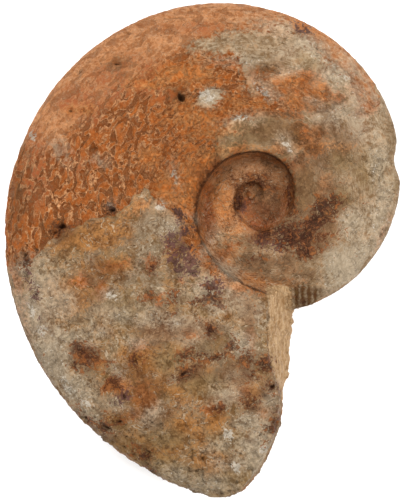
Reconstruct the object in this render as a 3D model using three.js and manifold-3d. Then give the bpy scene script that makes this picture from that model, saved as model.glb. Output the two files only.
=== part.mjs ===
import * as THREE from "three";
import { mergeVertices } from "three/addons/utils/BufferGeometryUtils.js";
import Module from "manifold-3d";

// Driving dimensions, in mm and degrees. The shell lies on one flank: X to the right, Y along its
// length, Z up. Angles run the way the shell grew, and 0 is straight to the right of the coil's axis.
const AXIS = new THREE.Vector2(6.95, 7.75);
const VENTER_RADIUS = 20.9;
const VENTER_GROWTH = 0.158;
const HALF_WIDTH = 0.2175;
const FLANK_POWER = 2.4;
const FLANK_ROUNDNESS = 0.6;
const SHOULDER_DROP = 0.12;
const SHOULDER_REACH = 0.05;
const WALL_REACH = 0.1;
const NUCLEUS_RADIUS = 0.95;

// The umbilical rim: its distance from the axis at each angle.
const RIM = [
  [-790, 0.7],
  [-610, 1.1],
  [-430, 1.5],
  [-340, 1.75],
  [-250, 1.85],
  [-205, 2.1],
  [-165, 2.65],
  [-110, 3.95],
  [-70, 5.6],
  [-30, 5.95],
  [45, 6.35],
  [110, 6.1],
  [160, 6.8],
  [205, 8.7],
  [256, 12.0],
  [300, 16.6],
];

// The whorls, from first to last, as stretches of the spiral with their steps, each of less than a
// turn. Each stretch stands a hair proud of the one before, whose narrowed tongue reaches into it.
const WHORLS = [
  { from: -786, to: -450, steps: 20, proud: 0 },
  { from: -450, to: -246, steps: 16, proud: 0.02 },
  { from: -246, to: -66, steps: 22, proud: 0.04 },
  { from: -66, to: 110, steps: 40, proud: 0.06 },
];
const BODY_CHAMBER = { from: 110, to: 302, steps: 53, proud: 0.08 };
const TONGUE = { reach: 2, narrowing: 0.85 };
const FLANK_POINTS = 10;
const WALL_POINTS = 3;
const SECTION_MIDDLE = 0.4;

// The lean of the coil as it lies: the height gained for each mm to the right and each mm along.
const LEAN_RIGHT = -0.011;
const LEAN_ALONG = -0.128;
const AXIS_HEIGHT = 7.3;

// Weathering: how far the flanks swell, how high the body chamber's coat stands over the sutured
// part behind it, and where that ledge runs from the outer edge (1) to the rim (0).
const SWELL_SUTURED = 0.16;
const SWELL_BODY = 0.34;
const SWELL_AT_RIM = 0.25;
const UNDERSIDE_OFFSET = 37;
const LEDGE_RISE = 0.22;
const LEDGE_SPREAD = 2.5;
const LEDGE = [
  [0, 203],
  [0.1, 199],
  [0.2, 188],
  [0.29, 176],
  [0.4, 186],
  [0.65, 190],
  [0.85, 194],
  [1, 197],
];

// The bite in the outer edge at the right, and the chipped edge under the body chamber, which falls
// away ever faster past the angle where it starts to round off.
const BITE = { at: 13, spread: 6, depth: 0.9 };
const CHIPS = { from: 231, depth: 0.1, grit: 0.32, roundFrom: 260, rounding: 0.03, leaving: 0.1 };

// The break across the body chamber: for each place along Y, how far right it reaches at its widest,
// and how far the worn face above that slopes back to the flank.
const BREAK = [
  [-42, -4, 1.6],
  [-36, 3.5, 1.6],
  [-33.6, 6.3, 1.3],
  [-31.8, 7.7, 1.1],
  [-29.3, 9.1, 0.9],
  [-25.6, 10.65, 0.6],
  [-22.3, 11.25, 0.5],
  [-18.8, 11.5, 1.0],
  [-17.8, 12.05, 1.9],
  [-14, 12.2, 2.8],
  [-9.6, 12.75, 3.5],
  [-4.5, 12.6, 3.4],
  [12, 12.6, 3.3],
];
const BREAK_LEVEL = 7;
const BREAK_TOP = 18;
const BREAK_UNDERCUT = 1.6;
const BREAK_GRIT = 0.16;
const BROKEN_BLOCK = { bottom: -6, top: 26, right: 60, rows: 24, layers: 8 };

// Pits in the upper flank: angle, place from rim (0) to outer edge (1), radius, and length over width.
const PITS = [
  { angle: 125.1, across: 0.46, radius: 0.62, stretch: 1.5 },
  { angle: 135.2, across: 0.85, radius: 0.5, stretch: 1.7 },
  { angle: 127.3, across: 0.95, radius: 0.42, stretch: 1.6 },
  { angle: 163.4, across: 0.62, radius: 0.5, stretch: 1.5 },
  { angle: 185.0, across: 0.45, radius: 0.5, stretch: 1 },
  { angle: 189.4, across: 0.7, radius: 0.75, stretch: 1.2 },
  { angle: 194.9, across: 0.9, radius: 0.5, stretch: 1.3 },
  { angle: 224.0, across: 0.78, radius: 0.8, stretch: 1.1 },
  { angle: 73.1, across: 0.94, radius: 0.55, stretch: 1.3 },
  { angle: 263.1, across: 0.3, radius: 0.55, stretch: 1.2 },
];

const wasm = await Module();
wasm.setup();

const radians = THREE.MathUtils.degToRad;
const { clamp, smoothstep, lerp } = THREE.MathUtils;

// A smooth curve through a table's rows, as a function of their first column, which rises.
function curveThrough(table, column = 1) {
  const places = table.map((row) => row[0]);
  const values = table.map((row) => row[column]);
  const curve = new THREE.CubicInterpolant(places, values, 1);
  return (place) => curve.evaluate(place)[0];
}

const rimRadius = curveThrough(RIM);
const ledgeAngle = curveThrough(LEDGE);
const breakReach = curveThrough(BREAK);
const breakSlope = curveThrough(BREAK, 2);

// Slow rise and fall of a weathered flank, between about -1 and 1.
function swell(x, y) {
  return (
    0.5 * Math.sin(0.55 * x + 0.21 * y + 1.3) * Math.cos(0.47 * y - 0.16 * x) +
    0.3 * Math.sin(1.13 * x - 0.74 * y + 0.4) +
    0.2 * Math.sin(1.31 * x + 1.9 * y + 2.1)
  );
}

// Short roughness of broken rock, between about -1 and 1.
function grit(a, b) {
  return 0.6 * Math.sin(2.1 * a + 1.3 * b) * Math.sin(2.9 * b - 0.9 * a + 0.7) +
    0.4 * Math.sin(4.3 * a - 2.6 * b + 1.9);
}

function venterRadius(angle) {
  const spiral = VENTER_RADIUS * Math.exp(VENTER_GROWTH * radians(angle));
  const bite = BITE.depth * Math.exp(-(((angle - BITE.at) / BITE.spread) ** 2));
  return spiral - bite;
}

// How far out the shell still reaches where its edge is chipped away, which is never in to the rim.
function chippedRadius(angle) {
  const chipped = smoothstep(angle, CHIPS.from, CHIPS.from + 4);
  const loss = CHIPS.depth + CHIPS.grit * grit(0.5 * angle, 1);
  const rounded = CHIPS.rounding * Math.max(0, angle - CHIPS.roundFrom) ** 2;
  const least = lerp(rimRadius(angle), venterRadius(angle), CHIPS.leaving);
  return Math.max(least, venterRadius(angle) - loss * chipped - rounded);
}

// Height of the flank over the whorl's half-width, from the rim (0) to the outer edge (1).
function flankHeight(across) {
  const crown = (1 - across ** FLANK_POWER) ** FLANK_ROUNDNESS;
  return crown * (1 - SHOULDER_DROP * Math.exp(-across / SHOULDER_REACH));
}

// Half a whorl's section, from its outer edge over the flank and down the umbilical wall:
// the place between the rim (0) and the outer edge (1), and the height over the half-width.
function halfSection(fraction) {
  const place = fraction * (FLANK_POINTS + WALL_POINTS);
  if (place <= FLANK_POINTS) {
    const across = 1 - (place / FLANK_POINTS) ** 1.6;
    return { across, height: flankHeight(across) };
  }
  const down = (place - FLANK_POINTS) / WALL_POINTS;
  return { across: -WALL_REACH * down, height: (1 - SHOULDER_DROP) * (1 - down ** 1.5) };
}

// Height that weathering adds to a flank, less near the rim. The underside weathered apart from
// the upper side, so its swell is read from another place.
function weathering(angle, across, x, y, side) {
  const place = clamp(across, 0, 1);
  const beyondLedge = angle - ledgeAngle(place);
  const body = smoothstep(beyondLedge, -LEDGE_SPREAD, LEDGE_SPREAD);
  const offset = side > 0 ? 0 : UNDERSIDE_OFFSET;
  const most = lerp(SWELL_SUTURED, SWELL_BODY, body) * lerp(SWELL_AT_RIM, 1, place);
  const size = clamp(venterRadius(angle) / VENTER_RADIUS, 0, 1);
  return size * most * swell(x + offset, y - offset) + LEDGE_RISE * body;
}

// A point of the shell: side is 1 on the upper flank and -1 on the lower one.
function shellPoint(angle, across, height, side, proud = 0) {
  const rim = rimRadius(angle) - proud;
  const full = rim + across * (venterRadius(angle) + proud - rim);
  const radius = Math.min(full, chippedRadius(angle) + proud);
  const x = AXIS.x + radius * Math.cos(radians(angle));
  const y = AXIS.y + radius * Math.sin(radians(angle));
  const halfWidth = HALF_WIDTH * venterRadius(angle) + proud;
  const rise = height * (halfWidth + weathering(angle, across, x, y, side));
  return new THREE.Vector3(x, y, side * rise);
}

// Leans a geometry as the shell lies, by the height of each point alone.
function lean(geometry) {
  const positions = geometry.getAttribute("position");
  for (let i = 0; i < positions.count; i += 1) {
    const right = positions.getX(i) - AXIS.x;
    const along = positions.getY(i) - AXIS.y;
    const level = AXIS_HEIGHT + LEAN_RIGHT * right + LEAN_ALONG * along;
    positions.setZ(i, positions.getZ(i) + level);
  }
  return geometry;
}

// One stretch of the spiral tube, bent from a cylinder and closed at both ends. Its last ring is
// the end of the tongue.
function whorl({ from, to, steps, proud }) {
  const sides = 2 * (FLANK_POINTS + WALL_POINTS);
  const tube = new THREE.CylinderGeometry(1, 1, 1, sides, steps + 1);
  const positions = tube.getAttribute("position");
  for (let i = 0; i < positions.count; i += 1) {
    const step = Math.round((0.5 - positions.getY(i)) * (steps + 1));
    const inTongue = step > steps;
    const angle = inTongue ? to + TONGUE.reach : lerp(from, to, step / steps);
    const width = inTongue ? TONGUE.narrowing : 1;
    const [a, b] = [positions.getX(i), positions.getZ(i)];
    const turn = Math.atan2(a, b) / Math.PI;
    const onAxis = Math.hypot(a, b) < 0.5;
    const ring = halfSection(Math.abs(turn));
    const across = lerp(SECTION_MIDDLE, ring.across, onAxis ? 0 : width);
    const height = onAxis ? 0 : ring.height * width;
    const point = shellPoint(angle, across, height, Math.sign(turn) || 1, proud);
    positions.setXYZ(i, point.x, point.y, point.z);
  }
  return lean(tube);
}

// The small round first chamber at the middle of the coil.
function nucleus() {
  const ball = new THREE.SphereGeometry(NUCLEUS_RADIUS, 12, 8);
  return lean(ball.translate(AXIS.x, AXIS.y, 0));
}

// What the break took away: a block whose near face is the sloping, striated broken face.
function brokenOff() {
  const { bottom, top, right, rows, layers } = BROKEN_BLOCK;
  const block = new THREE.BoxGeometry(1, 1, 1, 1, rows, layers);
  const positions = block.getAttribute("position");
  for (let i = 0; i < positions.count; i += 1) {
    const y = lerp(BREAK[0][0], BREAK.at(-1)[0], positions.getY(i) + 0.5);
    const z = lerp(bottom, top, positions.getZ(i) + 0.5);
    const above = clamp((z - BREAK_LEVEL) / (BREAK_TOP - BREAK_LEVEL), 0, 2);
    const below = clamp((BREAK_LEVEL - z) / BREAK_LEVEL, 0, 2);
    const back = breakSlope(y) * above + BREAK_UNDERCUT * below ** 1.5;
    const face = breakReach(y) - back + BREAK_GRIT * grit(0.6 * y, z);
    positions.setXYZ(i, positions.getX(i) < 0 ? face : right, y, z);
  }
  return block;
}

// An oval ball sunk in the upper flank, its long way along the whorl.
function pit({ angle, across, radius, stretch }) {
  const ball = new THREE.IcosahedronGeometry(radius, 1).scale(1, stretch, 0.8);
  const place = shellPoint(angle, across, flankHeight(across), 1);
  ball.rotateZ(radians(angle)).translate(place.x, place.y, place.z);
  return lean(ball);
}

// What wear took off the underside, where the shell rests.
function wornAway() {
  return new THREE.BoxGeometry(120, 120, 20).translate(0, 0, -10);
}

function toSolid(geometry) {
  const bare = geometry.clone();
  bare.deleteAttribute("normal");
  bare.deleteAttribute("uv");
  const merged = mergeVertices(bare);
  const triVerts = new Uint32Array(merged.index.array);
  const vertProperties = merged.getAttribute("position").array;
  return new wasm.Manifold(new wasm.Mesh({ numProp: 3, vertProperties, triVerts }));
}

function toGeometry(solid) {
  const mesh = solid.getMesh();
  const geometry = new THREE.BufferGeometry();
  geometry.setAttribute("position", new THREE.BufferAttribute(mesh.vertProperties, 3));
  geometry.setIndex(new THREE.BufferAttribute(mesh.triVerts, 1));
  geometry.computeVertexNormals();
  return geometry;
}

function fossil() {
  let shell = toSolid(whorl(BODY_CHAMBER)).subtract(toSolid(brokenOff()));
  for (const stretch of WHORLS) shell = shell.add(toSolid(whorl(stretch)));
  shell = shell.add(toSolid(nucleus()));
  for (const hollow of PITS) shell = shell.subtract(toSolid(pit(hollow)));
  return shell.subtract(toSolid(wornAway()));
}

const stone = new THREE.MeshStandardMaterial({ color: 0xb27a50, roughness: 0.72, metalness: 0 });
const ammonite = new THREE.Mesh(toGeometry(fossil()), stone);
ammonite.name = "ammonite";

const model = new THREE.Group();
model.add(ammonite);

export default model;
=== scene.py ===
import itertools
import math

import bmesh
import bpy
import numpy as np
from bpy.props import FloatProperty, FloatVectorProperty, IntProperty, PointerProperty
from bpy.types import Operator, Panel, PropertyGroup
from mathutils import Matrix, Vector


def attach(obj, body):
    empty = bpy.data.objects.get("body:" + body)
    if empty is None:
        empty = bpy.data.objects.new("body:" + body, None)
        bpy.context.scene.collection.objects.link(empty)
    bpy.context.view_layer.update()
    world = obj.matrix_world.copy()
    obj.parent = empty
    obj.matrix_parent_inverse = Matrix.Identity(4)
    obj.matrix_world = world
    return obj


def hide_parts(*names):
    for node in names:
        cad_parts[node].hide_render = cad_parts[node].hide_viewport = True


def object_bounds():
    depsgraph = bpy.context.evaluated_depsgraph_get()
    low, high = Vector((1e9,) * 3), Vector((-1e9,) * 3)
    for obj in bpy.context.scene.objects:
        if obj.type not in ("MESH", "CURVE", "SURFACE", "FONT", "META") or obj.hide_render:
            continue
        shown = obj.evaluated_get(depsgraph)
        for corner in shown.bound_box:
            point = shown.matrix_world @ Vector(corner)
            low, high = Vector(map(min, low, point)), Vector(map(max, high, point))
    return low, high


bl_info = {
    "name": "Fossil ammonite",
    "version": (1, 0, 0),
    "blender": (4, 5, 0),
    "location": "3D View > Sidebar > Fossil",
    "description": "A weathered fossil ammonite lying on its flank, in soft light",
    "category": "Add Mesh",
}

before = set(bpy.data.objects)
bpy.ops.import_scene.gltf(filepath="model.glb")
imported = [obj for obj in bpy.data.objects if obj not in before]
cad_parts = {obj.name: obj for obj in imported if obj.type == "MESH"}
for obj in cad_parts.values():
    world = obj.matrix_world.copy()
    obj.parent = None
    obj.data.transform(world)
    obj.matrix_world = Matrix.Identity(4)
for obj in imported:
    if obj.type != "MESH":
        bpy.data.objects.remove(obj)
CAD_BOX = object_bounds()

# The form is worked out in millimetres and degrees, and made metres at the end. X is to the right,
# Y along the shell and Z up. Angles run the way the shell grew, and 0 is to the right of the axis.
MM = 1000.0
AXIS = (6.95, 7.75)
LEAN_RIGHT = -0.011
LEAN_ALONG = -0.128

# A whorl's section: how round the flank is from the rim (0) to the outer edge (1), and the wall inside
# the rim. The steps over the flank crowd together towards the outer edge. Points nearer than the merge
# distance become one.
FLANK_POWER = 2.4
FLANK_ROUNDNESS = 0.6
SHOULDER_DROP = 0.12
SHOULDER_REACH = 0.05
FLANK_SHARE = 10 / 13
STEP_CROWDING = 1.6
WALL_REACH = 0.1
WALL_CURVE = 1.6
MERGE_DISTANCE = 0.001

# The umbilical rim: its distance from the axis at each angle.
RIM = [
    (-790, 0.7), (-610, 1.1), (-430, 1.5), (-340, 1.75), (-250, 1.85), (-205, 2.1), (-165, 2.65),
    (-110, 3.95), (-70, 5.6), (-30, 5.95), (45, 6.35), (110, 6.1), (160, 6.8), (205, 8.7),
    (256, 12.0), (300, 16.6),
]

# Where each part of the coil starts and ends, and the painted shadow line along the last turn's rim, where
# the flank's overhang shades the wall, which grows from the start of that turn until it is whole.
PHRAGMOCONE = (-786, 110)
BODY_CHAMBER = (110, 302)
LAST_TURN = -58
RIM_SHADOW_WHOLE = 45
RIM_SHADOW_PLACE = -0.006
RIM_SHADOW_WIDTH = 0.011

# Weathering of the flanks, and the ledge where the body chamber's coat ends, from the rim (0) to
# the outer edge (1).
SWELL_SUTURED = 0.16
SWELL_BODY = 0.34
SWELL_AT_RIM = 0.25
UNDERSIDE_OFFSET = 37
LEDGE_SPREAD = 2.5
LEDGE = [
    (0, 203), (0.1, 199), (0.2, 188), (0.29, 176), (0.4, 186), (0.65, 190), (0.85, 194), (1, 197),
]

# The bite in the outer edge at the right, and the chips and the rounding at its broken end.
BITE_ANGLE = 13
BITE_SPREAD = 6
BITE_DEPTH = 0.9
CHIPS_FROM = 231
CHIPS_RAMP = 4
CHIPS_DEPTH = 0.1
CHIPS_GRIT = 0.32
ROUNDED_FROM = 260
ROUNDING = 0.03
CHIPS_LEAVING = 0.1

# The break across the body chamber: for each place along Y, how far right it reaches at its widest,
# and how far the worn face above that slopes back to the flank.
BREAK = [
    (-42, -4, 1.6), (-36, 3.5, 1.6), (-33.6, 6.3, 1.3), (-31.8, 7.7, 1.1), (-29.3, 9.1, 0.9),
    (-25.6, 10.65, 0.6), (-22.3, 11.25, 0.5), (-18.8, 11.5, 1.0), (-17.8, 12.05, 1.9),
    (-14, 12.2, 2.8), (-9.6, 12.75, 3.5), (-4.5, 12.6, 3.4), (12, 12.6, 3.3),
]
BREAK_LEVEL = 7
BREAK_TOP = 18
BREAK_UNDERCUT = 1.6
UNDERCUT_CURVE = 1.5
BREAK_GRIT = 0.16
BREAK_SKIN = 0.5
BLOCK_BOTTOM = -6
BLOCK_TOP = 26
BLOCK_RIGHT = 60
BLOCK_ROWS = 160
BLOCK_LAYERS = 90

# The view of the photograph: its middle over the stone, in mm, how far off and how tall it is, and
# the size of its frame in pixels. The stains below are placed by its pixels, x right and y down.
VIEW_MIDDLE = (0.21, -0.07)
VIEW_LEVEL = 9.0
VIEW_DISTANCE = 2000.0
VIEW_HEIGHT = 70.4
PHOTO_WIDTH = 407
PHOTO_HEIGHT = 500
PIXEL = VIEW_HEIGHT / PHOTO_HEIGHT

# The camera's sensor in mm, and how far it sees and where the lamps are in metres. A flank lies in
# FLANK_LIGHT times the light that would show its own colour.
SENSOR_WIDTH = 36
CAMERA_REACH = 10
LAMP_PLACE = (-0.36, 0.43, 0.6)
FILL_PLACE = (0.55, -0.05, 0.5)
FLOOR_ROUGHNESS = 0.9
FLANK_LIGHT = 2.3

# Where the finishes lie: how far a finish fades each way from its edge and how deep the noise of the
# underside's stains goes, in pixels, and where the upper side passes into the underside, in mm.
SOFT_PIXELS = 10.0
FAR_OUTSIDE = -20.0
STAIN_SLOPE = 50
SIDE_BLUR = 1.2
SIDE_WANDER = 0.8

# The underside, which the photograph doesn't show: where its grey skin ends and its crumbly end starts,
# in degrees, how far out its salmon edge starts, and how wide a whorl is outside and inside the rim, in
# pixels.
UNDERSIDE_GREY_TO = 62
UNDERSIDE_CRUMBLY_FROM = 240
UNDERSIDE_SALMON_FROM = 0.62
OUTER_PIXELS = 90
INNER_PIXELS = 60

# The finer relief, in mm. Each kind of ground has its roughness: how high and how large its bumps are,
# and the seed and the layers of its noise. Stripes are placed and spaced in pixels.
ROUGHNESS = [
    ("skin", 0.05, 0.9, 25, 3), ("coil", 0.05, 0.7, 34, 3), ("rusty", 0.04, 0.5, 26, 1),
    ("whole", 0.02, 0.6, 30, 2),
]
FRILL_REACH = 20
FRILL_STRETCH = 1.9
FRILL_BEND = 0.75
SKIN_SHARE = 0.4
SKIN_WORN = 0.95
COIL_EDGE = 0.012
SEEN_FROM = -0.6
OUTER_SMOOTHNESS = 0.7
COAT_LUMPS = 0.07
COAT_PITS = 0.16
COAT_VEINS = 0.05
STAIN_DEPTH = 0.05
CRACK_DEPTH = 0.16
CRACK_WIDTH = 1.3
FIBRE_STRETCH = (1, 0.12, 1)
STRIPES_MIDDLE = 299.5
STRIPE_WIDTH = 6.2
STRIPE_HEIGHT = 0.1
EDGE_WEAR = 0.05
EDGE_ROUGHNESS = 0.04

# Outlines of the larger finishes, as corners in pixels.
ZONES = {
    "coat": [
        (-40, 271), (8, 268), (14, 266), (24, 264), (30, 258), (40, 254), (50, 240), (62, 233),
        (75, 227), (84, 222), (99, 218), (110, 216), (121, 211), (129, 204), (134, 198), (139, 192),
        (144, 187), (149, 190), (153, 198), (163, 207), (173, 213), (179, 224), (184, 238),
        (192, 253), (201, 266), (213, 276), (230, 281), (262, 287), (300, 290), (320, 540), (-40, 540),
    ],
    "grey": [
        (187, 47), (196, 39), (210, 35), (225, 32), (240, 31), (262, 28), (280, 20), (292, 22),
        (305, 38), (321, 52), (330, 68), (349, 75), (355, 90), (360, 100), (363, 112), (385, 103),
        (450, 100), (450, 320), (300, 330), (268, 284), (251, 195), (222, 160), (218, 142), (222, 129),
        (230, 120), (247, 117), (260, 112), (272, 112), (283, 109), (280, 101), (275, 95), (266, 86),
        (262, 74), (257, 72), (262, 99), (255, 101), (248, 90), (243, 72), (239, 58), (217, 54),
        (200, 54), (190, 53),
    ],
    "triangle": [(202, 88), (210, 91), (219, 89), (226, 94), (214, 107), (203, 109), (195, 105)],
    "grey_coil": [
        (212, 222), (236, 226), (252, 238), (270, 240), (286, 226), (300, 204), (310, 240), (300, 300),
        (262, 277), (240, 270), (226, 258), (214, 244), (208, 232),
    ],
    "strip": [
        (267, 286), (268, 316), (268, 332), (270, 345), (270, 360), (275, 376), (278, 384),
        (281, 395), (282, 408), (330, 404), (330, 318), (297, 311), (292, 303), (290, 286),
    ],
    "salmon": [
        (250, -20), (400, -20), (400, 95), (384, 100), (362, 112), (357, 92), (350, 76), (330, 70),
        (320, 52), (304, 38), (284, 22), (262, 28), (230, 33), (205, 38), (185, 52), (165, 64),
        (150, 72), (135, 84), (118, 96), (104, 110), (88, 122), (72, 138), (58, 150), (44, 158),
        (30, 150), (-30, 120), (-30, -20),
    ],
    "crumbly": [
        (70, 400), (92, 410), (118, 420), (150, 418), (176, 405), (205, 420), (240, 436), (262, 436),
        (275, 415), (330, 410), (330, 540), (40, 540),
    ],
    "striped": [
        (291, 288), (299, 286), (310, 285), (319, 287), (323, 294), (322, 303), (300, 314), (292, 302),
    ],
}

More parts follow.
